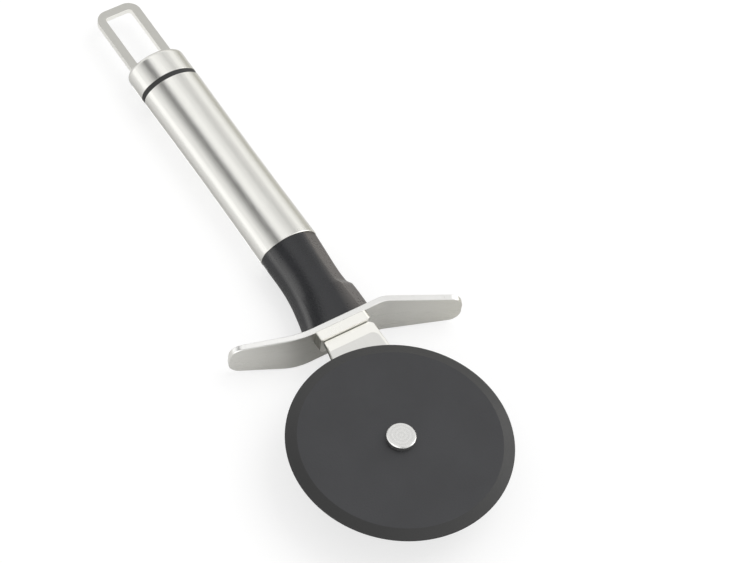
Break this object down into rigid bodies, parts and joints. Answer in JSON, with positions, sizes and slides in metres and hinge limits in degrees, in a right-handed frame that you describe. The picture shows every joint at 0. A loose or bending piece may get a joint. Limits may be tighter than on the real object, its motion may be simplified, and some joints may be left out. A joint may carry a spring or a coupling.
{
  "type": "pizza cutter",
  "caption": "Handheld pizza cutter: a dark round wheel that turns on a riveted steel arm, a bent finger guard, a moulded neck and an oval steel handle with a hanging loop.",
  "frame": {"origin": "middle of the whole tool's box, on the surface that it lies on", "axes": "+X along the handle from the wheel to the hanging loop, +Y across the handle in the wheel's plane towards the side that the wheel is offset to, +Z along the wheel's axle"},
  "size_m": [0.2436, 0.0898, 0.0224],
  "materials": {
    "wheel_plastic": "matt, dark grey",
    "rivet_steel": "fine satin",
    "washer_plastic": "smooth",
    "brushed_steel": "satin",
    "pin_steel": "as turned",
    "handle_steel": "brushed along the handle",
    "loop_steel": "satin",
    "neck_plastic": "satin, dark grey",
    "ring_rubber": "matt",
    "plug_plastic": "moulded"
  },
  "bodies": {
    "handle": {"axle_rivet": "rivet_steel", "spacer_washer": "washer_plastic", "arm": "brushed_steel", "tang_pins": "pin_steel", "finger_guard": "brushed_steel", "guard_block": "brushed_steel", "neck": "neck_plastic", "handle_tube": "handle_steel", "seal_ring": "ring_rubber", "end_cap": "handle_steel", "cap_plug": "plug_plastic", "hanging_loop": "loop_steel", "loop_pins": "pin_steel"},
    "wheel": {"cutting_wheel": "wheel_plastic"}
  },
  "joints": [
    {"name": "wheel_spin", "type": "hinge", "parent": "handle", "child": "wheel", "pos_m": [-0.08432, 0.00737, 0.01865], "axis": [0, 0, 1], "continuous": true}
  ]
}
